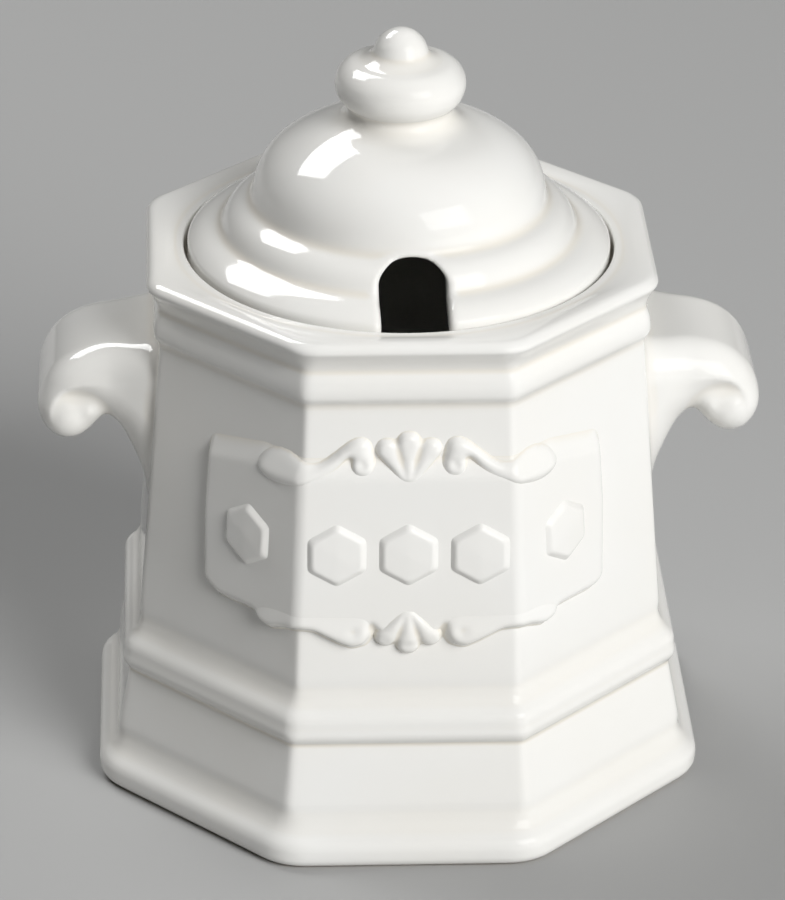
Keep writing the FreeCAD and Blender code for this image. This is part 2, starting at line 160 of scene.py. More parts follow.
def group_sockets(tree, inputs, outputs):
    for name, kind in inputs:
        tree.interface.new_socket(name, in_out="INPUT", socket_type=kind)
    for name, kind in outputs:
        tree.interface.new_socket(name, in_out="OUTPUT", socket_type=kind)
    return tree.nodes.new("NodeGroupInput"), tree.nodes.new("NodeGroupOutput")


# %% The last steps of a geometry tree
def welded(tree, geometry, gap):
    return wired(tree, "GeometryNodeMergeByDistance", {"Geometry": geometry, "Distance": gap})[0]


def hand_out(tree, geometry, given, result):
    realised = wired(tree, "GeometryNodeRealizeInstances", {0: geometry})[0]
    inputs = {"Geometry": realised, "Material": given.outputs["Material"]}
    tree.links.new(wired(tree, "GeometryNodeSetMaterial", inputs)[0], result.inputs[0])

# %% The octagon lathe
lathe = bpy.data.node_groups.new("octagon_lathe", "GeometryNodeTree")
given, result = group_sockets(
    lathe,
    [("Profile", "NodeSocketGeometry"), ("Sides", "NodeSocketInt"), ("Columns", "NodeSocketInt"),
     ("Crowding", "NodeSocketFloat"), ("Material", "NodeSocketMaterial")],
    [("Turned", "NodeSocketGeometry")],
)

# %% The grid that is to be moved
profile = given.outputs["Profile"]
rows = wired(lathe, "GeometryNodeAttributeDomainSize", {0: profile}, component="MESH")["Point Count"]
column_count = calculate(lathe, "MULTIPLY", given.outputs["Sides"], given.outputs["Columns"])
grid_size = {"Vertices X": calculate(lathe, "ADD", column_count, 1.0), "Vertices Y": rows}
grid = wired(lathe, "GeometryNodeMeshGrid", grid_size)["Mesh"]

number = new_node(lathe, "GeometryNodeInputIndex").outputs[0]
centred = calculate(lathe, "ADD", number, 0.5)
column = calculate(lathe, "FLOOR", calculate(lathe, "DIVIDE", centred, rows))
row = calculate(lathe, "SUBTRACT", number, calculate(lathe, "MULTIPLY", column, rows))


def from_profile(kind, value):
    inputs = {"Geometry": profile, "Value": value, "Index": row}
    return wired(
        lathe, "GeometryNodeSampleIndex", inputs, data_type=kind, domain="POINT", clamp=True
    )[0]


def profile_attribute(name):
    reader = wired(lathe, "GeometryNodeInputNamedAttribute", {"Name": name}, data_type="FLOAT")
    return from_profile("FLOAT", reader[0])


# %% What the profile says at each row
position = new_node(lathe, "GeometryNodeInputPosition").outputs[0]
place = wired(lathe, "ShaderNodeSeparateXYZ", {0: from_profile("FLOAT_VECTOR", position)})
distance, rise = place["X"], place["Z"]
corner = profile_attribute("corner")

# %% The direction of a column, from the nearest corner of the octagon
sector_angle = calculate(lathe, "DIVIDE", 2 * math.pi, given.outputs["Sides"])
half_sector = calculate(lathe, "DIVIDE", sector_angle, 2.0)
share = calculate(lathe, "DIVIDE", column, given.outputs["Columns"])
sector = calculate(lathe, "FLOOR", calculate(lathe, "ADD", share, 0.0001))
swing = calculate(lathe, "MULTIPLY_ADD", calculate(lathe, "SUBTRACT", share, sector), 2.0, -1.0)
spread = calculate(lathe, "POWER", calculate(lathe, "ABSOLUTE", swing), given.outputs["Crowding"])
off_corner = calculate(lathe, "MULTIPLY", spread, half_sector)
signed = calculate(lathe, "MULTIPLY", off_corner, calculate(lathe, "SIGN", swing))
middle = calculate(lathe, "MULTIPLY", calculate(lathe, "ADD", sector, 0.5), sector_angle)
heading = calculate(lathe, "ADD", middle, signed)

# %% The reach: a straight line on the flat, a circle on the corner
off_flat = calculate(lathe, "SUBTRACT", half_sector, off_corner)
flat_reach = calculate(lathe, "DIVIDE", distance, calculate(lathe, "COSINE", off_flat))
inset = calculate(lathe, "SUBTRACT", distance, corner)
hub = calculate(lathe, "DIVIDE", inset, calculate(lathe, "COSINE", half_sector))
aside = calculate(lathe, "MULTIPLY", hub, calculate(lathe, "SINE", off_corner))
corner_square = calculate(lathe, "MULTIPLY", corner, corner)
aside_square = calculate(lathe, "MULTIPLY", aside, aside)
under_root = calculate(lathe, "SUBTRACT", corner_square, aside_square)
hub_reach = calculate(lathe, "MULTIPLY", hub, calculate(lathe, "COSINE", off_corner))
arc_reach = calculate(lathe, "SQRT", calculate(lathe, "MAXIMUM", under_root, 0.0))
round_reach = calculate(lathe, "ADD", hub_reach, arc_reach)
off_middle = calculate(lathe, "MULTIPLY", distance, calculate(lathe, "TANGENT", off_flat))
flat_half = calculate(lathe, "MULTIPLY", inset, calculate(lathe, "TANGENT", half_sector))
on_corner = calculate(lathe, "GREATER_THAN", off_middle, flat_half)
gain = calculate(lathe, "SUBTRACT", round_reach, flat_reach)
reach = calculate(lathe, "MULTIPLY_ADD", on_corner, gain, flat_reach)

# %% Move the grid to its place
aside = calculate(lathe, "MULTIPLY", reach, calculate(lathe, "SINE", heading))
ahead = calculate(lathe, "MULTIPLY", reach, calculate(lathe, "COSINE", heading))
behind = calculate(lathe, "MULTIPLY", ahead, -1.0)
spot = wired(lathe, "ShaderNodeCombineXYZ", {"X": aside, "Y": behind, "Z": rise})[0]
stored = wired(lathe, "GeometryNodeSetPosition", {"Geometry": grid, "Position": spot})[0]

# %% Keep the attributes, close the seam and coat
SEAM_GAP = 0.002 * MM
for kept in ("hollow", "bare"):
    inputs = {"Geometry": stored, "Name": kept, "Value": profile_attribute(kept)}
    stored = wired(
        lathe, "GeometryNodeStoreNamedAttribute", inputs, data_type="FLOAT", domain="POINT"
    )[0]
hand_out(lathe, welded(lathe, stored, SEAM_GAP), given, result)
print("the lathe has", len(lathe.nodes), "nodes")

# %% [markdown]
# ## The glaze
#
# A white glaze is never one flat colour. Where it gathers in a hollow it is thicker and turns ivory;
# the same darker ivory in grooves and creases is also painted shade, where less light falls. Its
# surface ripples very slightly, and a bubble here and there leaves a pinhole. Both materials of the
# pot share this, so it is a node group. Each piece carries an attribute called hollow, which its
# maker fills in: one in a groove, zero on a flat or a ridge.

# %% The glaze group
glaze = bpy.data.node_groups.new("glaze_depth_and_shade", "ShaderNodeTree")
given, result = group_sockets(
    glaze,
    [("Thin", "NodeSocketColor"), ("Pooled And Shaded", "NodeSocketColor"), ("Polish", "NodeSocketFloat")],
    [("Color", "NodeSocketColor"), ("Roughness", "NodeSocketFloat"), ("Height", "NodeSocketFloat")],
)
where = new_node(glaze, "ShaderNodeTexCoord").outputs["Object"]
hollow = new_node(glaze, "ShaderNodeAttribute", attribute_name="hollow").outputs["Fac"]


def noise(scale, detail=2.0):
    return wired(glaze, "ShaderNodeTexNoise", {"Vector": where, "Scale": scale, "Detail": detail})[0]


def mixed_colours(tree, share, first, second):
    return wired(tree, "ShaderNodeMix", {0: share, 6: first, 7: second}, data_type="RGBA")[2]


# %% Ivory where the glaze pools, and painted shade in the hollows
CLOUD_SCALE = 38.0
cloudy = calculate(glaze, "MULTIPLY_ADD", noise(CLOUD_SCALE), 0.5, -0.12)
# The hollow attribute pulls grooves and creases towards the darker ivory: partly pooled glaze, partly
# painted shade.
pooling_and_shade = calculate(glaze, "ADD", hollow, cloudy)
pooled_and_shaded = calculate(glaze, "MAXIMUM", calculate(glaze, "MINIMUM", pooling_and_shade, 1.0), 0.0)
body_colour = mixed_colours(glaze, pooled_and_shaded, given.outputs["Thin"], given.outputs["Pooled And Shaded"])

# %% A few pinholes
PINHOLE_SHIFT = (0.064, 0.041, 0.019)
PINHOLE_SCALE = 70.0
PINHOLE_RARITY = 0.95
PINHOLE_DEPTH = 0.75
PINHOLE_COLOUR = (0.30, 0.22, 0.14, 1.0)
shifted = wired(glaze, "ShaderNodeVectorMath", {0: where, 1: PINHOLE_SHIFT}, operation="ADD")[0]
bubbles = wired(glaze, "ShaderNodeTexVoronoi", {"Vector": shifted, "Scale": PINHOLE_SCALE}, feature="F1")
chance = wired(glaze, "ShaderNodeSeparateColor", {0: bubbles["Color"]})
rare = calculate(glaze, "GREATER_THAN", chance[0], PINHOLE_RARITY)
size = calculate(glaze, "MULTIPLY_ADD", chance[1], 0.012, 0.014)
near = calculate(glaze, "LESS_THAN", bubbles["Distance"], size)
pinhole = calculate(glaze, "MULTIPLY", calculate(glaze, "MULTIPLY", rare, near), PINHOLE_DEPTH)
speckled = mixed_colours(glaze, pinhole, body_colour, PINHOLE_COLOUR)
glaze.links.new(speckled, result.inputs["Color"])

# %% Polish and ripple
WEAR_SCALE = 90.0
BROAD_RIPPLE = 60.0
FINE_RIPPLE = 420.0
wear = calculate(glaze, "MULTIPLY_ADD", noise(WEAR_SCALE, 3.0), 0.05, given.outputs["Polish"])
glaze.links.new(calculate(glaze, "MULTIPLY_ADD", pinhole, 0.3, wear), result.inputs["Roughness"])
ripple = calculate(glaze, "MULTIPLY_ADD", noise(FINE_RIPPLE, 1.0), 0.12, noise(BROAD_RIPPLE, 1.0))
glaze.links.new(calculate(glaze, "MULTIPLY_ADD", pinhole, -0.4, ripple), result.inputs["Height"])
print("the glaze has", len(glaze.nodes), "nodes")

# %% The two finishes
THIN_GLAZE = (0.83, 0.825, 0.80, 1.0)
# Darker ivory for hollows: pooled glaze, and painted shade in grooves and creases.
POOLED_GLAZE_AND_SHADE = (0.79, 0.755, 0.68, 1.0)
BARE_CLAY = (0.52, 0.39, 0.25, 1.0)
POLISH = 0.045
GLASS_IOR = 1.52
RIPPLE_STRENGTH = 0.05
RIPPLE_DEPTH = 0.5 * MM


def glazed_material(name, with_bare_clay):
    material = bpy.data.materials.new(name)
    material.use_nodes = True
    tree = material.node_tree
    surface = tree.nodes["Principled BSDF"]
    inputs = {"Thin": THIN_GLAZE, "Pooled And Shaded": POOLED_GLAZE_AND_SHADE, "Polish": POLISH}
    depth = wired(tree, "ShaderNodeGroup", inputs, node_tree=glaze)
    colour, roughness = depth["Color"], depth["Roughness"]
    if with_bare_clay:
        bare = new_node(tree, "ShaderNodeAttribute", attribute_name="bare").outputs["Fac"]
        colour = mixed_colours(tree, bare, colour, BARE_CLAY)
        roughness = calculate(tree, "MULTIPLY_ADD", bare, 0.6, roughness)
    ripple = {"Strength": RIPPLE_STRENGTH, "Distance": RIPPLE_DEPTH, "Height": depth["Height"]}
    feed(tree, surface.inputs["Base Color"], colour)
    feed(tree, surface.inputs["Roughness"], roughness)
    feed(tree, surface.inputs["IOR"], GLASS_IOR)
    feed(tree, surface.inputs["Normal"], wired(tree, "ShaderNodeBump", ripple)["Normal"])
    return material


white_glaze = glazed_material("white_glaze", False)
white_glaze_bare_edge = glazed_material("white_glaze_bare_edge", True)
print("finishes", white_glaze.name, "and", white_glaze_bare_edge.name)

# %% [markdown]
# ## The vessel
#
# The profile runs once round the cut wall: from the middle of the underside out over the foot ring, up
# the stepped base and the leaning wall, over the rim, down the round lid seat and the mouth, and along
# the inside back to the axis. The third number of each point is its corner radius. The foot ring stands
# bare in the kiln so that it doesn't stick to the shelf, and the attribute called bare marks it.

# %% Draw the vessel's profile
WALL_FOOT = (45.2, 32.6)
WALL_TOP = (41.2, 81.6)
CORNER = 1.7
SEAT = 91.6
RIM = 94.5
MOUTH_RADIUS = 32.7
GALLERY_RADIUS = 38.3
SEAT_RADIUS = 36.9

underside = [(0, 1.5, 0), (45.2, 1.5, 45.2), (46.4, 0, 46.4)]
outside = [
    (51.2, 0, 10), (52.7, 2.6, 10.5), (51.5, 5.5, 9), (49.3, 10.6, 3), (47.1, 21.7, 2),
    (48.0, 24.9, 4.5), (47.0, 27.7, 4), (*WALL_FOOT, CORNER), (*WALL_TOP, CORNER),
    (42.1, 83.9, 3), (41.25, 88.8, 3), (43.5, 93.0, 7), (41.6, RIM, 8),
]
inside = [
    (39.9, 94.4, 16), (GALLERY_RADIUS, 93.9, GALLERY_RADIUS), (SEAT_RADIUS, 94.2, SEAT_RADIUS),
    (SEAT_RADIUS, SEAT, SEAT_RADIUS), (MOUTH_RADIUS, SEAT, MOUTH_RADIUS),
    (MOUTH_RADIUS, 87.6, MOUTH_RADIUS), (36.8, 87.6, 10), (36.8, 81.6, 4),
    (40.8, 32.6, 4), (44.9, 11, 5), (38.9, 5, 8), (0, 5, 0),
]
first = len(underside)
rounding = {
    0: (0.72, 1), 1: (0.85, 1), 2: (0.95, -1), 4: (0.72, 1), 5: (0.85, 1), 6: (0.95, -1),
    8: (0.9, -1), 9: (1.4, 1), 10: (1.8, -1), 11: (0.72, 1),
}
bends = {first + place: bend for place, bend in rounding.items()}
vessel_line = softened(drawn_line(underside + outside + inside, bends), 0.5)
vessel_line[:, 2] = np.minimum(vessel_line[:, 2], vessel_line[:, 0])
print("vessel profile", len(vessel_line), "points")


# %% From a line to a mesh
def placed(name, data):
    piece = bpy.data.objects.new(name, data)
    bpy.context.scene.collection.objects.link(piece)
    return piece


def give_values(mesh, values):
    for label, numbers in values.items():
        attribute = mesh.attributes.new(label, "FLOAT", "POINT")
        attribute.data.foreach_set("value", numbers.astype(np.float32))


def profile_object(name, line, bare, full_hollow=0.9):
    rows = thinned(line)
    bend = turning(rows)
    mesh = bpy.data.meshes.new(name)
    points = np.stack([rows[:, 0], 0 * rows[:, 0], rows[:, 1]], 1) * MM
    mesh.from_pydata(points.tolist(), [(place, place + 1) for place in range(len(rows) - 1)], [])
    give_values(mesh, {
        "corner": rows[:, 2] * MM,
        "hollow": np.clip(-bend / full_hollow, 0, 1),
        "bare": np.clip(bare(rows), 0, 1),
    })
    return placed(name, mesh)


def settled(piece):
    bpy.context.view_layer.update()
    shown = piece.evaluated_get(bpy.context.evaluated_depsgraph_get())
    made = bpy.data.meshes.new_from_object(shown)
    piece.modifiers.clear()
    piece.data = made
    work = bmesh.new()
    work.from_mesh(made)
    bmesh.ops.recalc_face_normals(work, faces=work.faces)
    work.to_mesh(made)
    work.free()
    made.shade_smooth()
    return piece


# %% Turn and finish a piece
SIDES = 8
CROWDING = 2.0


def tree_inputs(tree):
    return {item.name: item.identifier for item in tree.interface.items_tree if item.in_out == "INPUT"}


def turned_piece(name, line, columns, bare, material):
    piece = profile_object(name, line, bare)
    modifier = piece.modifiers.new("lathe", "NODES")
    modifier.node_group = lathe
    sockets = tree_inputs(lathe)
    modifier[sockets["Sides"]] = SIDES
    modifier[sockets["Columns"]] = columns
    modifier[sockets["Crowding"]] = CROWDING
    modifier[sockets["Material"]] = material
    return settled(piece)


def finish_piece(piece, body, *nodes):
    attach(piece, body)
    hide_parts(*nodes)
    print(piece.name, len(piece.data.vertices), "points", len(piece.data.polygons), "faces")


# %% Turn the vessel
FOOT_INSIDE = 40
BARE_RISE = 0.6
BARE_FADE = 0.35


def bare_foot(rows):
    return (rows[:, 0] > FOOT_INSIDE) * (BARE_RISE - rows[:, 1]) / BARE_FADE


vessel = turned_piece("pot_vessel_glazed", vessel_line, 32, bare_foot, white_glaze_bare_edge)
finish_piece(vessel, "pot", "pot_vessel")

# %% [markdown]
# ## Carving with distances
#
# The lid has a slot through its side, and the handles are curled scrolls that melt into the wall. Such
# shapes are easy to say as a distance: how far is a point from the surface, below zero inside? Two
# shapes join by taking the smaller distance, and a rounded join blends the two near the seam. The net
# below lays one point in every grid cell the surface passes through, slides it onto the surface and
# ties neighbouring points together. A remesh modifier after a Boolean would be the usual way, but its
# joins are sharp first and smoothed later, while a distance has the round join in it from the start.

# %% The distance from a line
def line_distance(points, line, closed, batch=4000):
    ends = np.roll(line, -1, 0)
    run = ends - line
    length = np.maximum((run * run).sum(1), 1e-12)
    last = len(line) if closed else len(line) - 1
    found = np.empty(len(points))
    for start in range(0, len(points), batch):
        here = points[start:start + batch, None, :]
        offset = here - line
        share = np.clip((offset[:, :last] * run[:last]).sum(2) / length[:last], 0, 1)
        gap = offset[:, :last] - run[:last] * share[..., None]
        crossing = (line[:, 1] <= here[..., 1]) != (ends[:, 1] <= here[..., 1])
        slope = run[:, 0] / np.where(run[:, 1] == 0, 1, run[:, 1])
        beyond = here[..., 0] < line[:, 0] + (here[..., 1] - line[:, 1]) * slope
        within = (crossing & beyond).sum(1) % 2 == 1
        nearest = np.sqrt((gap * gap).sum(2).min(1))
        found[start:start + batch] = nearest * np.where(within, -1, 1)
    return found


def distance_table(line, closed, low, high, pitch=0.12):
    across = np.arange(low[0], high[0], pitch)
    upward = np.arange(low[1], high[1], pitch)
    spots = np.stack(np.meshgrid(across, upward, indexing="ij"), -1).reshape(-1, 2)
    table = line_distance(spots, line, closed).reshape(len(across), len(upward))

    def look_up(x, z):
        u = np.clip((x - low[0]) / pitch, 0, len(across) - 1.001)
        v = np.clip((z - low[1]) / pitch, 0, len(upward) - 1.001)
        i, j = u.astype(int), v.astype(int)
        p, q = u - i, v - j
        return ((table[i, j] * (1 - p) + table[i + 1, j] * p) * (1 - q)
                + (table[i, j + 1] * (1 - p) + table[i + 1, j + 1] * p) * q)
    return look_up


# %% Join and cut
def joined(first, second, blend):
    overlap = np.clip(1 - np.abs(first - second) / blend, 0, None)
    return np.minimum(first, second) - overlap ** 2 * blend / 4


def cut_away(shape, tool, blend):
    return -joined(-shape, tool, blend)


def slope_of(field, points, span=0.25):
    rises = [field(points + step) - field(points - step) for step in np.eye(3) * span]
    return np.stack(rises, 1) / (2 * span)


# %% Slide points onto the surface
def slid(field, points, reach):
    slope = slope_of(field, points)
    fall = field(points) / np.maximum((slope * slope).sum(1), 0.2)
    return points - np.clip(slope * fall[:, None], -reach, reach)


# Each knot moves to the mean of the faces round it and slides back, so the faces become even.
def evened(field, points, faces, pitch, rounds=3):
    corners = faces.ravel()
    shares = np.maximum(np.bincount(corners, minlength=len(points)), 1)
    for _ in range(rounds):
        centres = np.repeat(points[faces].mean(1), 4, 0)
        means = [np.bincount(corners, centre, len(points)) / shares for centre in centres.T]
        points = slid(field, np.stack(means, 1), 0.3 * pitch)
    return slid(field, points, 0.3 * pitch)


# %% Find the cells that the surface passes through
def crossed_cells(solid):
    long, wide, high = np.array(solid.shape) - 1
    count = sum(
        solid[i:long + i, j:wide + j, k:high + k].astype(int)
        for i in (0, 1) for j in (0, 1) for k in (0, 1)
    )
    cells = np.argwhere((count > 0) & (count < 8))
    names = np.full(count.shape, -1)
    names[tuple(cells.T)] = np.arange(len(cells))
    return cells, names


# %% Tie neighbouring cells together
def tied_faces(solid, names):
    faces = []
    for axis in range(3):
        second, third = (axis + 1) % 3, (axis + 2) % 3
        lower = np.take(solid, range(solid.shape[axis] - 1), axis)
        upper = np.take(solid, range(1, solid.shape[axis]), axis)
        edges = np.argwhere(lower != upper)
        ring = []
        for step_two, step_three in ((-1, -1), (0, -1), (0, 0), (-1, 0)):
            beside = edges.copy()
            beside[:, second] += step_two
            beside[:, third] += step_three
            ring.append(names[tuple(beside.T)])
        quads = np.stack(ring, 1)
        backward = upper[tuple(edges.T)]
        quads[backward] = quads[backward][:, ::-1]
        faces.append(quads)
    return np.vstack(faces)


# %% Tie the net
NET_PITCH = 0.5


def netted(field, low, high, pitch=NET_PITCH):
    axes = [np.arange(start, end, pitch) for start, end in zip(low, high)]
    spots = np.stack(np.meshgrid(*axes, indexing="ij"), -1)
    solid = (field(spots.reshape(-1, 3)) < 0).reshape(spots.shape[:3])
    cells, names = crossed_cells(solid)
    middles = np.array(low) + (cells + 0.5) * pitch
    points = middles
    for _ in range(4):
        points = slid(field, points, 0.6 * pitch)
        points = np.clip(points, middles - 0.8 * pitch, middles + 0.8 * pitch)
    faces = tied_faces(solid, names)
    return evened(field, points, faces, pitch), faces


# %% From points to a piece
def mesh_piece(name, points, faces, material, **attributes):
    mesh = bpy.data.meshes.new(name)
    mesh.from_pydata((points * MM).tolist(), [], faces.tolist())
    give_values(mesh, attributes)
    mesh.materials.append(material)
    return settled(placed(name, mesh))


def hollow_of(field, points, span=0.9, full_hollow=0.8):
    steps = np.vstack([np.eye(3), -np.eye(3)]) * span
    bend = (sum(field(points + step) for step in steps) - 6 * field(points)) / span ** 2
    return np.clip(-bend / full_hollow, 0, 1)

# %% [markdown]
# ## The knob
#
# A turned bulb with a small ball that grows out of its shoulder. A Screw modifier on a curve would turn
# it too. The lathe is at hand and the knob is round all over, so it gets a profile whose corner radius
# is the distance itself. The ball is an arc from its foot to the top, and its radius follows from them.

# %% Turn the knob
NECK = (8.8, 118.9)
KNOB_TOP = 133.1
BALL_FOOT = (4.7, 128.9)
knob_points = [
    (0, 118.6), (7.6, 118.6), (8.8, 119.3), (11.0, 124.6), (7.6, 127.3), BALL_FOOT, (0, KNOB_TOP),
]
ball_drop = KNOB_TOP - BALL_FOOT[1]
ball_share = math.hypot(BALL_FOOT[0], ball_drop) / (2 * ball_drop)
knob_bends = {2: (0.8, 1), 3: (0.9, 1), 4: (1.4, -1), 5: (ball_share, 1)}
knob_line = softened(drawn_line(knob_points, knob_bends), 0.5)
knob_line[:, 0] = np.maximum(knob_line[:, 0], 0)
round_line = np.column_stack([knob_line, knob_line[:, 0]])


def nowhere_bare(rows):
    return 0 * rows[:, 0]


knob = turned_piece("lid_knob_glazed", round_line, 12, nowhere_bare, white_glaze)
finish_piece(knob, "lid", "lid_knob")

# %% [markdown]
# ## The lid
#
# A thrown lid: a flat flange that drops into the seat, a ring, a dome and a neck for the knob. The line
# goes over the top from the axis and back underneath. An arched slot for the dipper is cut through
# the front, from the edge upwards, and its rim is rounded over where the glaze ran. The neck is
# blended into the foot of the knob, and the lid sits a little turned in its seat.

# %% Draw the lid's profile
LID_RADIUS = 36.3
SLOT_WIDTH = 11.3
SLOT_SPRING = 98.6
SLOT_RISE = 3.5
SLOT_BACK = 12
SLOT_BLEND = 1.5
NECK_BLEND = 2.0
LID_TURN = math.radians(2.0)
MELT_FROM = 95.0

lid_profile = [
    (0, NECK[1]), NECK, (12.0, 116.1), (20.6, 111.9), (25.0, 104.6), (25.3, 102.2), (30.4, 97.2),
    (LID_RADIUS, 94.8), (LID_RADIUS, SEAT), (32.3, SEAT), (27.0, 94.6), (21.9, 103.4),
    (12.4, 111.4), (0, 111.6),
]
lid_bends = {1: (0.9, 1), 2: (2.74, -1), 3: (1.28, -1), 5: (0.75, -1), 6: (1.2, -1), 11: (0.78, 1)}
drawn_lid = drawn_line(lid_profile, lid_bends)
firm_line = softened(drawn_lid, 0.4)
melted_line = softened(drawn_lid, 1.0)
melt = np.clip((firm_line[:, 1] - MELT_FROM) / 2, 0, 1)[:, None]
lid_line = firm_line * (1 - melt) + melted_line * melt
lid_distance = distance_table(lid_line, False, (0, 88.0), (40.0, 126.0))
knob_distance = distance_table(knob_line, False, (0, 112.0), (16.0, 126.0))
print("lid profile", len(lid_line), "points")


# %% The lid as a distance
KNOB_CORE_TOP = 122.5
KNOB_CORE_RADIUS = 15
KNOB_CORE_SINK = 0.05


def lid_field(points):
    x, y, z = points.T
    radius = np.hypot(x, y)
    limits = np.maximum(z - KNOB_CORE_TOP, radius - KNOB_CORE_RADIUS)
    knob_core = np.maximum(knob_distance(radius, z) + KNOB_CORE_SINK, limits)
    body = joined(lid_distance(radius, z), knob_core, NECK_BLEND)
    across = x * math.cos(LID_TURN) + y * math.sin(LID_TURN)
    ahead = y * math.cos(LID_TURN) - x * math.sin(LID_TURN)
    above = np.maximum(z - SLOT_SPRING, 0) * (SLOT_WIDTH / 2 / SLOT_RISE)
    arch = np.hypot(across, above) - SLOT_WIDTH / 2
    return cut_away(body, np.maximum(arch, ahead + SLOT_BACK), SLOT_BLEND)


# %% Net the lid
lid_points, lid_faces = netted(lid_field, (-37.63, -37.58, 90.17), (37.7, 37.7, 124.0))
bare_edge = np.clip((SEAT + 0.5 - lid_points[:, 2]) / 0.3, 0, 1)
lid = mesh_piece(
    "lid_dome_glazed", lid_points, lid_faces, white_glaze_bare_edge,
    hollow=hollow_of(lid_field, lid_points), bare=bare_edge,
)
finish_piece(lid, "lid", "lid_dome")

# %% [markdown]
# ## The handles
#
# Each handle is a broad strap that leaves the wall under the rim, swings out and curls in on itself.
# Two shapes make it: the arm, drawn from the front, and the roll at its tip. Both are given a width
# with well rounded edges. Where they meet a soft crease stays, and where the arm meets the wall a
# generous blend stands for the slip a potter wipes into the joint.

# %% Draw the arm
HANDLE_HALF_WIDTH = 13.8
ROOT_FLARE = 2.0
ROLL_CENTRE = (57.1, 66.7)
ROLL_RADIUS = 4.5
ROLL_TAIL = (53.6, 68.0)
ROLL_TAIL_RADIUS = 2.3
arm_points = [
    (36, 79.4), (42.6, 79.4), (48.2, 79.3), (52.9, 78.6), (56.8, 77.1), (59.7, 74.7), (61.4, 71.9),
    (62.1, 69.2), (61.9, 66.9), (60.2, 65.2), (58.6, 66.2), (58.1, 68.2), (56.8, 69.4), (54.8, 69.3),
    (52.9, 68.1), (50.9, 66.3), (49.0, 64.9), (47.6, 62.9), (46.2, 60.0), (44.8, 56.8), (43.5, 53.4),
    (42.0, 50.0), (36, 48),
]


# %% Curves and rounded slabs
def closed_curve(points):
    points = np.array(points, float)
    before, after = np.roll(points, 1, 0), np.roll(points, -1, 0)
    beyond = np.roll(points, -2, 0)
    stretches = []
    for travel in np.arange(0, 1, 0.1):
        stretches.append(0.5 * (
            2 * points + (after - before) * travel
            + (2 * before - 5 * points + 4 * after - beyond) * travel ** 2
            + (3 * points - before - 3 * after + beyond) * travel ** 3
        ))
    curve = np.stack(stretches, 1).reshape(-1, 2)
    weights = bell_weights(4)
    margin = len(weights) // 2
    wrapped = np.vstack([curve[-margin:], curve, curve[:margin]])
    return np.stack([np.convolve(column, weights, "valid") for column in wrapped.T], 1)


arm_distance = distance_table(closed_curve(arm_points), True, (34, 44), (66, 86))


def thickened(outline, y, half_width, edge):
    aside = np.abs(y) - (half_width - edge)
    outward = outline + edge
    both = np.hypot(np.maximum(outward, 0), np.maximum(aside, 0))
    return both + np.minimum(np.maximum(outward, aside), 0) - edge


def wall_distance(z):
    lean = (WALL_TOP[0] - WALL_FOOT[0]) / (WALL_TOP[1] - WALL_FOOT[1])
    return WALL_FOOT[0] + (z - WALL_FOOT[1]) * lean


# %% The handle as a distance
ARM_EDGE = 6.3
ROLL_EDGE = 4.4
ROLL_BLEND = 3.0
CURL_BLEND = 2.2
WALL_BLEND = 2.0
WALL_SINK = 0.06
ROOT_END = 50.5
ROOT_LENGTH = 9.0
PATCH_HALF_WIDTH = 17.4
PATCH_MIDDLE = 65.5
PATCH_HALF_HEIGHT = 18.5
PATCH_DEPTH = 2.2


def handle_field(points):
    x, y, z = points.T
    root = np.clip((ROOT_END - x) / ROOT_LENGTH, 0, 1)
    half_width = HANDLE_HALF_WIDTH + ROOT_FLARE * root ** 2 * (3 - 2 * root)
    arm = thickened(arm_distance(x, z), y, half_width, ARM_EDGE)
    curl = np.hypot(x - ROLL_CENTRE[0], z - ROLL_CENTRE[1]) - ROLL_RADIUS
    tail = np.hypot(x - ROLL_TAIL[0], z - ROLL_TAIL[1]) - ROLL_TAIL_RADIUS
    roll = thickened(joined(curl, tail, ROLL_BLEND), y, HANDLE_HALF_WIDTH, ROLL_EDGE)
    scroll = joined(arm, roll, CURL_BLEND)
    whole = joined(scroll, x - wall_distance(z) + WALL_SINK, WALL_BLEND)
    patch = np.maximum(np.abs(y) - PATCH_HALF_WIDTH, np.abs(z - PATCH_MIDDLE) - PATCH_HALF_HEIGHT)
    return np.maximum(np.maximum(whole, patch), wall_distance(z) - PATCH_DEPTH - x)


# %% Net the handle and mirror it
right_points, handle_faces = netted(handle_field, (37.0, -17.9, 45.0), (64.0, 17.9, 86.0))
handle_hollow = hollow_of(handle_field, right_points)
for word, side in (("right", 1), ("left", -1)):
    handle_points = right_points * (side, 1, 1)
    handle = mesh_piece(
        f"{word}_handle_glazed", handle_points, handle_faces, white_glaze, hollow=handle_hollow
    )
    finish_piece(handle, "pot", f"{word}_handle")

# %% [markdown]
# ## Relief on the wall
#
# The plaque and its ornament are pressed into the mould, so they are a height on the wall rather than
# separate lumps. The wall is unfolded: one coordinate runs round the three front facets, the other
# runs up. Every outline gives a distance, the distance gives a height, and the height is blurred the
# way glaze softens an edge. A patch only keeps the part that stands out and dips just under the
# surface at its border, so that the seam doesn't show.

# %% Unfold the wall
HALF_SECTOR = math.radians(22.5)
RELIEF_STEP = 0.3


def octagon_reach(heading, distance, corner):
    sector = np.round(heading / (2 * HALF_SECTOR))
    off_flat = np.abs(heading - sector * 2 * HALF_SECTOR)
    off_corner = HALF_SECTOR - off_flat
    hub = (distance - corner) / math.cos(HALF_SECTOR)
    aside = hub * np.sin(off_corner)
    curved = hub * np.cos(off_corner) + np.sqrt(np.maximum(corner ** 2 - aside ** 2, 0))
    flat = distance / np.cos(off_flat)
    flat_half = (distance - corner) * math.tan(HALF_SECTOR)
    return np.where(distance * np.tan(off_flat) > flat_half, curved, flat)


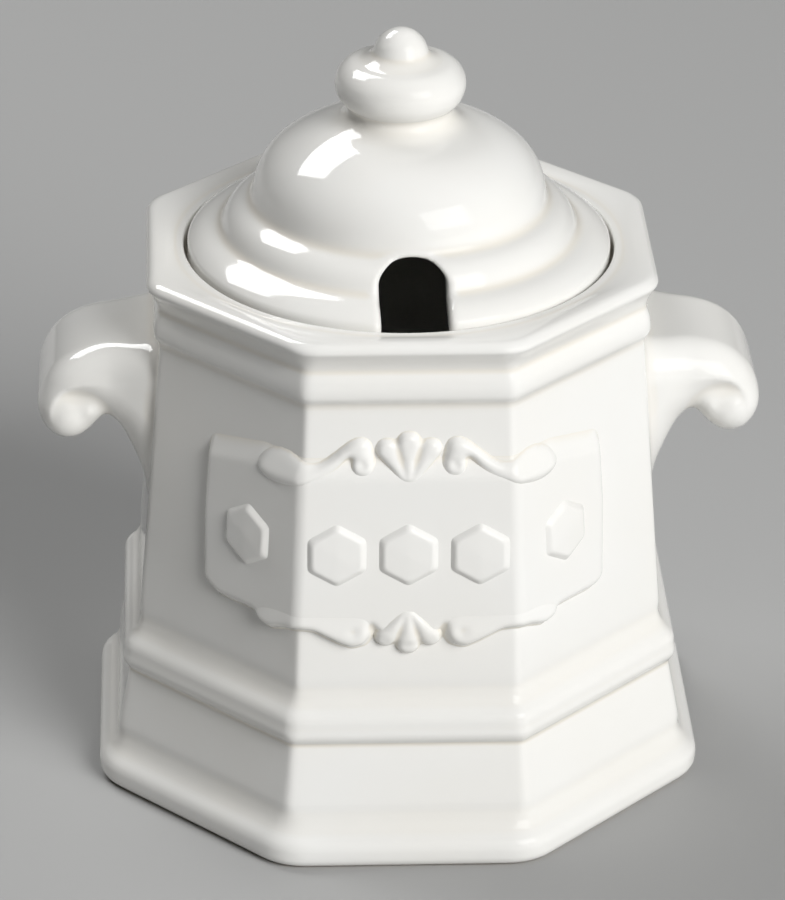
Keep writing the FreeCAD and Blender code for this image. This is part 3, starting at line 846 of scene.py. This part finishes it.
def on_wall(along, z, lift):
    distance = wall_distance(z)
    half = distance * math.tan(HALF_SECTOR)
    beyond = np.maximum(np.abs(along) - half, 0) * math.cos(2 * HALF_SECTOR)
    x = np.sign(along) * (np.minimum(np.abs(along), half) + beyond)
    y = -distance + beyond
    heading = np.arctan2(x, -y)
    reach = octagon_reach(heading, distance + lift, CORNER + lift)
    return np.stack([reach * np.sin(heading), -reach * np.cos(heading), z], -1)


def unfolded(points):
    x, z = np.array(points, float).T[:2]
    half = wall_distance(z) * math.tan(HALF_SECTOR)
    beyond = np.maximum(np.abs(x) - half, 0) / math.cos(2 * HALF_SECTOR)
    return np.stack([np.sign(x) * (np.minimum(np.abs(x), half) + beyond), z], 1)


along_axis = np.arange(-42.0, 42.01, RELIEF_STEP)
upward_axis = np.arange(34.0, 81.01, RELIEF_STEP)
ALONG, UPWARD = np.meshgrid(along_axis, upward_axis, indexing="ij")
SPOTS = np.stack([ALONG, UPWARD], -1).reshape(-1, 2)


# %% Height maps
def inside_distance(line):
    return -line_distance(SPOTS, unfolded(line), True).reshape(ALONG.shape)


def blurred(height, softness):
    weights = bell_weights(softness / RELIEF_STEP)
    for axis in (0, 1):
        height = np.apply_along_axis(lambda row: np.convolve(row, weights, "same"), axis, height)
    return height


def pillow(inward, width):
    share = np.clip(inward / width, 0, 1)
    return np.sqrt(np.maximum(1 - (1 - share) ** 2, 0))


# %% From a height map to a piece
REAR_DEPTH = 1.2
FULL_HOLLOW = 0.16


def relief_piece(name, height, base, margin=0.10):
    lift = base + height
    keep = height > -margin
    cells = keep[:-1, :-1] | keep[1:, :-1] | keep[:-1, 1:] | keep[1:, 1:]
    corners = np.argwhere(cells)
    columns = ALONG.shape[1]
    first = corners[:, 0] * columns + corners[:, 1]
    quads = np.stack([first, first + columns, first + columns + 1, first + 1], 1)
    used, flat = np.unique(quads, return_inverse=True)
    front = on_wall(ALONG, UPWARD, lift).reshape(-1, 3)[used]
    rear = on_wall(ALONG, UPWARD, np.minimum(base, 0) - REAR_DEPTH).reshape(-1, 3)[used]
    quads = flat.reshape(-1, 4)
    sides = np.vstack([quads[:, [place, (place + 1) % 4]] for place in range(4)])
    order = np.sort(sides, 1)
    _, place, count = np.unique(order, axis=0, return_index=True, return_counts=True)
    rim = sides[place[count == 1]]
    rim_faces = np.stack([rim[:, 1], rim[:, 0], rim[:, 0] + len(used), rim[:, 1] + len(used)], 1)
    faces = np.vstack([quads, quads[:, ::-1] + len(used), rim_faces])
    hollow = np.clip((blurred(lift, 1.0) - lift) / FULL_HOLLOW, 0, 1).reshape(-1)[used]
    hollow = np.concatenate([hollow, 0 * hollow])
    return mesh_piece(name, np.vstack([front, rear]), faces, white_glaze, hollow=hollow)

# %% [markdown]
# ## The plaque
#
# A broad raised panel that wraps round the front three facets, with a waved lower border. Its outline
# is drawn for the right half and mirrored. The distance inward makes the edge: a steep step at the
# sides and below, and a long bevel along the top. A subdivided plane with a Displace modifier would do
# as well, but with the height in hand the ornament that follows can rest on the same surface.

# %% Draw the plaque
PLAQUE_LOW = 43.1
PLAQUE_RISE = 1.5
EDGE_WIDTH = 1.1
BEVEL_WIDTH = 3.2
BEVEL_TOP = 73.4
BEVEL_DROP = 0.2
BEVEL_TURN = 26.5


def both_sides(half):
    return half + [(-x, z) for x, z in half[::-1]]


apron_border = [
    (6.1, 43.8), (6.2, 41.6), (7.4, 40.0), (9.4, 39.5), (11.4, 40.3), (13.4, 41.4), (15.6, 42.6),
    (18.0, 42.9), (20.4, 42.3), (22.8, 41.2), (24.4, 41.7), (25.3, PLAQUE_LOW),
]
plaque_middle = [(0.6, 40.6), (3.0, 41.0), (4.8, 42.2)]
plaque_side = [(31.2, PLAQUE_LOW), (33.4, 45.2), (33.2, 58.0), (32.4, 69.0), (31.6, 71.6)]
plaque_top = [(24.0, 74.0), (8.0, 74.0)]
plaque_border = plaque_middle + apron_border
corner_arc = {len(plaque_border): (0.75, 1)}
right_half = plaque_border + plaque_side + plaque_top
plaque_outline = drawn_line(both_sides(right_half), corner_arc, 0.4)

# %% Press the plaque
plaque_in = inside_distance(plaque_outline)
top_line = BEVEL_TOP - BEVEL_DROP * np.maximum(np.abs(ALONG) - BEVEL_TURN, 0)
slopes = np.minimum(plaque_in / EDGE_WIDTH + 0.5, (top_line - UPWARD) / BEVEL_WIDTH)
plaque_height = blurred(PLAQUE_RISE * np.clip(slopes, -0.12, 1), 0.42)
plaque_lift = np.maximum(plaque_height, 0)
plaque = relief_piece("label_plaque_glazed", plaque_height, 0 * plaque_height)
finish_piece(plaque, "pot", "label_plaque")

# %% [markdown]
# ## Scrolls and fans
#
# A leaf scroll is a closed outline puffed up like a pillow, and a fan is three tapered petals side by
# side. Where two puffed shapes meet, the higher one wins, which leaves the groove between them. An
# ornament stands on the plaque in one part and on the bare wall in another, so it follows a share of
# what is beneath it.

# %% An ornament from its puffed height
BENEATH_SOFTNESS = 1.5
SINK = -0.3
DEEPEST = -0.25


def ornament_piece(name, node, puffed, rise, follow=0.6, softness=0.33):
    beneath = plaque_lift if follow == 1.0 else follow * blurred(plaque_lift, BENEATH_SOFTNESS)
    raised = beneath + rise * puffed
    height = blurred(np.where(puffed == 0, SINK, raised - plaque_lift), softness)
    piece = relief_piece(name, np.maximum(height, DEEPEST), plaque_lift)
    finish_piece(piece, "pot", node)


# %% Petals and fans
def tapered(x, z, start, end, start_radius, end_radius):
    run = np.array(end, float) - start
    share = np.clip(((x - start[0]) * run[0] + (z - start[1]) * run[1]) / (run @ run), 0, 1)
    radius = start_radius + (end_radius - start_radius) * share
    return np.hypot(x - start[0] - run[0] * share, z - start[1] - run[1] * share) - radius


def petal(hinge, tip, hinge_radius, tip_radius, edge=1.4):
    ends = unfolded([hinge, tip])
    return pillow(-tapered(ALONG, UPWARD, ends[0], ends[1], hinge_radius, tip_radius), edge)


def fan(hinge_z, tip_z, side_reach, side_z):
    petals = [petal((0, hinge_z), (0, tip_z), 0.7, 2.1)]
    for side in (-1, 1):
        petals.append(petal((0.7 * side, hinge_z), (side_reach * side, side_z), 0.6, 1.9))
    return np.maximum.reduce(petals)


# %% The leaves
crest_leaf = [
    (5.9, 74.2), (5.5, 72.1), (6.6, 70.6), (8.6, 70.7), (9.6, 72.2), (9.4, 73.9), (11.0, 72.6),
    (12.8, 71.0), (15.0, 69.9), (17.6, 68.8), (20.2, 67.9), (22.7, 67.8), (24.6, 69.3), (24.2, 71.7),
    (22.4, 73.4), (19.9, 73.9), (17.4, 72.9), (15.0, 72.7), (12.9, 74.0), (11.0, 75.5), (9.2, 76.9),
    (7.2, 77.0), (6.2, 75.9),
]
apron_leaf = apron_border + [
    (23.6, 45.0), (20.6, 46.1), (17.6, 46.5), (14.6, 46.3), (11.6, 46.0), (8.8, 45.9), (6.8, 45.3),
]
CREST_EYE = (7.5, 72.6)
APRON_EYE = (8.8, 42.6)
apron_fading = np.clip((46.5 - UPWARD) / 4.5, 0, 1)
tip_share = np.clip((np.abs(ALONG) - 11) / 5, 0, 1)
crest_fading = 1 - 0.85 * tip_share * np.clip((UPWARD - 69.8) / 4.5, 0, 1)


def leaf_height(points, eye, side, width):
    outline = closed_curve([(x * side, z) for x, z in points])
    puffed = pillow(inside_distance(outline), width)
    gap = np.hypot(ALONG - eye[0] * side, UPWARD - eye[1])
    return puffed * (1 - 0.45 * np.exp(-(gap / 0.8) ** 2))


# %% Press leaves and fans
for side, word in ((-1, "left"), (1, "right")):
    leaf = leaf_height(crest_leaf, CREST_EYE, side, 1.9) * crest_fading
    ornament_piece(f"crest_scroll_{word}_glazed", f"crest_scroll_{word}", leaf, 1.35)
    border = 1.3 * leaf_height(apron_leaf, APRON_EYE, side, 1.6) * apron_fading - 0.3
    ornament_piece(f"apron_scroll_{word}_glazed", f"apron_scroll_{word}", border, 0.5, 1.0)
ornament_piece("crest_fan_glazed", "crest_fan", fan(70.0, 76.0, 3.6, 75.0), 1.2)
ornament_piece("apron_fan_glazed", "apron_fan", fan(45.8, 40.0, 3.7, 41.3), 1.3)

# %% [markdown]
# ## The honeycomb cells
#
# Five hexagons march across the plaque. One cell is drawn by a rule, its height falling off towards
# the six edges, and instances of it are set on five points. An Array modifier would repeat it too, but
# a point can also carry the way its facet leans and faces, so the outer two cells turn with the wall.

# %% The tree for the cells
comb = bpy.data.node_groups.new("honeycomb_row", "GeometryNodeTree")
given, result = group_sockets(
    comb,
    [("Places", "NodeSocketGeometry"), ("Cell Width", "NodeSocketFloat"), ("Rise", "NodeSocketFloat"),
     ("Edge", "NodeSocketFloat"), ("Depth", "NodeSocketFloat"), ("Material", "NodeSocketMaterial")],
    [("Cells", "NodeSocketGeometry")],
)
cell_width, rise, edge, depth = (given.outputs[name] for name in ("Cell Width", "Rise", "Edge", "Depth"))

# %% A finely divided hexagon
full_width = calculate(comb, "MULTIPLY_ADD", edge, 2.0, cell_width)
radius = calculate(comb, "MULTIPLY", full_width, 1 / math.sqrt(3))
disc_size = {"Vertices": 6, "Radius": radius}
disc = wired(comb, "GeometryNodeMeshCircle", disc_size, fill_type="TRIANGLE_FAN")[0]
fine = wired(comb, "GeometryNodeSubdivideMesh", {"Mesh": disc, "Level": 5})[0]

# %% How far a point lies inside the six edges
CORNER_BLEND = 1.0 * MM
position = new_node(comb, "GeometryNodeInputPosition").outputs[0]
flat = wired(comb, "ShaderNodeSeparateXYZ", {0: position})
reach = None
for angle in (30, 90, 150):
    direction = math.radians(angle)
    along = calculate(comb, "MULTIPLY", flat["X"], math.cos(direction))
    total = calculate(comb, "MULTIPLY_ADD", flat["Y"], math.sin(direction), along)
    towards = calculate(comb, "ABSOLUTE", total)
    reach = towards if reach is None else calculate(comb, "SMOOTH_MAX", reach, towards, CORNER_BLEND)
outermost = calculate(comb, "MULTIPLY_ADD", cell_width, 0.5, edge)
inward = calculate(comb, "SUBTRACT", outermost, reach)

# %% The cell's height
CROWN = 0.05
climb = {"Value": inward, "From Max": calculate(comb, "MULTIPLY", edge, 2.0)}
step = wired(comb, "ShaderNodeMapRange", climb, interpolation_type="SMOOTHERSTEP")[0]
crown = calculate(comb, "MULTIPLY", calculate(comb, "SUBTRACT", inward, edge), CROWN)
whole_rise = calculate(comb, "ADD", rise, depth)
height = calculate(comb, "MULTIPLY_ADD", step, whole_rise, crown)


def lifted(amount):
    offset = wired(comb, "ShaderNodeCombineXYZ", {"Z": amount})[0]
    return wired(comb, "GeometryNodeSetPosition", {"Geometry": fine, "Offset": offset})[0]


front = lifted(calculate(comb, "SUBTRACT", height, depth))
back = lifted(calculate(comb, "MULTIPLY", depth, -1.0))

# %% Close the cell and repeat it
CELL_SEAM = 0.004 * MM
both = new_node(comb, "GeometryNodeJoinGeometry")
comb.links.new(front, both.inputs[0])
comb.links.new(wired(comb, "GeometryNodeFlipFaces", {0: back})[0], both.inputs[0])
cell = welded(comb, both.outputs[0], CELL_SEAM)
turn = wired(comb, "GeometryNodeInputNamedAttribute", {"Name": "turn"}, data_type="FLOAT_VECTOR")[0]
setting = {"Points": given.outputs["Places"], "Instance": cell, "Rotation": turn}
hand_out(comb, wired(comb, "GeometryNodeInstanceOnPoints", setting)[0], given, result)
print("the honeycomb has", len(comb.nodes), "nodes")

# %% Set the cells in a row
CELL_Z = 56.6
CELL_PITCH = 11.6
SIDE_CELL = 25.9
CELL_TURN = math.radians(30)
CELL_SIZES = {"Cell Width": 9.4, "Rise": 0.75, "Edge": 1.08, "Depth": 0.3}
lean = math.atan2(WALL_FOOT[0] - WALL_TOP[0], WALL_TOP[1] - WALL_FOOT[1])
places = unfolded([(x, CELL_Z) for x in (-SIDE_CELL, -CELL_PITCH, 0, CELL_PITCH, SIDE_CELL)])
spots = on_wall(places[:, 0], places[:, 1], PLAQUE_RISE)
facing = [-2 * HALF_SECTOR, 0, 0, 0, 2 * HALF_SECTOR]
upright = Matrix.Rotation(math.pi / 2 - lean, 3, "X") @ Matrix.Rotation(CELL_TURN, 3, "Z")
turns = [Matrix.Rotation(angle, 3, "Z") @ upright for angle in facing]
cell_mesh = bpy.data.meshes.new("plaque_cells_glazed")
cell_mesh.from_pydata((spots * MM).tolist(), [], [])
angles = np.array([turn.to_euler() for turn in turns], np.float32)
turn_values = cell_mesh.attributes.new("turn", "FLOAT_VECTOR", "POINT")
turn_values.data.foreach_set("vector", angles.reshape(-1))
cells = placed("plaque_cells_glazed", cell_mesh)
modifier = cells.modifiers.new("honeycomb", "NODES")
modifier.node_group = comb
sockets = tree_inputs(comb)
for name, size in CELL_SIZES.items():
    modifier[sockets[name]] = size * MM
modifier[sockets["Material"]] = white_glaze
settled(cells)
finish_piece(cells, "pot", "plaque_cells")

# %% [markdown]
# ## The floor
#
# A sheet of pale paper on a table would do. Its colour darkens with distance, a painted fall-off of
# light, so that the picture is not brighter behind the pot than the glaze itself. A curved backdrop
# would work too, but the camera looks down and never sees a horizon.

# %% Lay the floor
FLOOR_HALF = 4
NEAR_PAPER = (0.42, 0.42, 0.415, 1)
FAR_PAPER_IN_PAINTED_SHADE = (0.16, 0.16, 0.16, 1)
FADE_FROM = 0.9
FADE_TO = 3.8
floor_corners = [(x * FLOOR_HALF, y * FLOOR_HALF, 0) for x, y in ((-1, -1), (1, -1), (1, 1), (-1, 1))]
floor_mesh = bpy.data.meshes.new("floor")
floor_mesh.from_pydata(floor_corners, [], [(0, 1, 2, 3)])
floor = placed("floor", floor_mesh)
paper = bpy.data.materials.new("paper")
paper.use_nodes = True
sheet = paper.node_tree
spot = new_node(sheet, "ShaderNodeTexCoord").outputs["Object"]
away = wired(sheet, "ShaderNodeVectorMath", {0: spot}, operation="LENGTH")["Value"]
fading = {"Value": away, "From Min": FADE_FROM, "From Max": FADE_TO}
painted_falloff = wired(sheet, "ShaderNodeMapRange", fading, interpolation_type="SMOOTHSTEP")[0]
surface = sheet.nodes["Principled BSDF"]
# The floor colour darkens away from the pot: a painted fall-off of light, not a change in the paper.
feed(sheet, surface.inputs["Base Color"], mixed_colours(sheet, painted_falloff, NEAR_PAPER, FAR_PAPER_IN_PAINTED_SHADE))
feed(sheet, surface.inputs["Roughness"], 0.9)
floor_mesh.materials.append(paper)
print("floor", [round(side, 1) for side in floor.dimensions], "m")

# %% [markdown]
# ## The light
#
# The photo has one broad soft light from the front right and a bright window shape in the glaze at the
# upper left. The light on a surface and its mirror image in the glaze are easier to judge apart, so
# each is two lamps: one that the glaze doesn't mirror, and one that is mostly there to be mirrored.
# Lamps that overlap hide each other from the glaze, so the mirror images stand a little nearer.

# %% Hang the lamps
def softbox(name, place, target, width, height, power):
    lamp = bpy.data.lights.new(name, "AREA")
    lamp.shape = "RECTANGLE"
    lamp.size = width
    lamp.size_y = height
    lamp.energy = power
    holder = placed(name, lamp)
    holder.location = place
    holder.rotation_mode = "QUATERNION"
    holder.rotation_quaternion = (Vector(target) - Vector(place)).to_track_quat("-Z", "Y")
    print(name, power, "W")
    return holder


MIDDLE = (0, 0, 0.07)
softbox("key_soft", (1.20, -1.58, 1.21), MIDDLE, 1.3, 1.3, 52).visible_glossy = False
softbox("key_glint", (1.15, -1.51, 1.16), MIDDLE, 1.3, 1.3, 9)
softbox("top_soft", (-0.61, 0.61, 1.11), MIDDLE, 0.8, 0.8, 10).visible_glossy = False
softbox("window", (-0.53, 0.72, 1.06), MIDDLE, 0.8, 0.44, 9).visible_diffuse = False
room = bpy.data.worlds.new("room")
bpy.context.scene.world = room
room.use_nodes = True
sky = room.node_tree.nodes["Background"]
sky.inputs["Color"].default_value = (0.9, 0.95, 1.0, 1)
sky.inputs["Strength"].default_value = 0.03

# %% [markdown]
# ## The camera
#
# The photo was taken from above with a long lens, nearly straight on. Height and distance follow from
# how the foot and the rim open up, the small turn from the facets left and right, and the shift only
# sets the frame.

# %% Place the camera
TARGET = Vector((0, 0, 47.1 * MM))
DISTANCE = 0.860
AZIMUTH = math.radians(-2.82)
ELEVATION = math.radians(27.16)
ROLL = math.radians(0.6)
level = math.cos(ELEVATION)
back = Vector((math.sin(AZIMUTH) * level, -math.cos(AZIMUTH) * level, math.sin(ELEVATION)))
lens = bpy.data.cameras.new("camera")
lens.lens = 195.4
lens.sensor_width = 36.0
lens.shift_x = -0.0042
lens.shift_y = 0.0369
lens.clip_start = 0.05
lens.clip_end = 20
camera = placed("camera", lens)
camera.rotation_mode = "QUATERNION"
camera.location = TARGET + back * DISTANCE
tilt = Matrix.Rotation(ROLL, 3, "Z").to_quaternion()
camera.rotation_quaternion = (-back).to_track_quat("-Z", "Y") @ tilt
bpy.context.scene.camera = camera
bpy.context.scene.view_settings.view_transform = "Standard"
print("camera at", [round(value, 3) for value in camera.location])
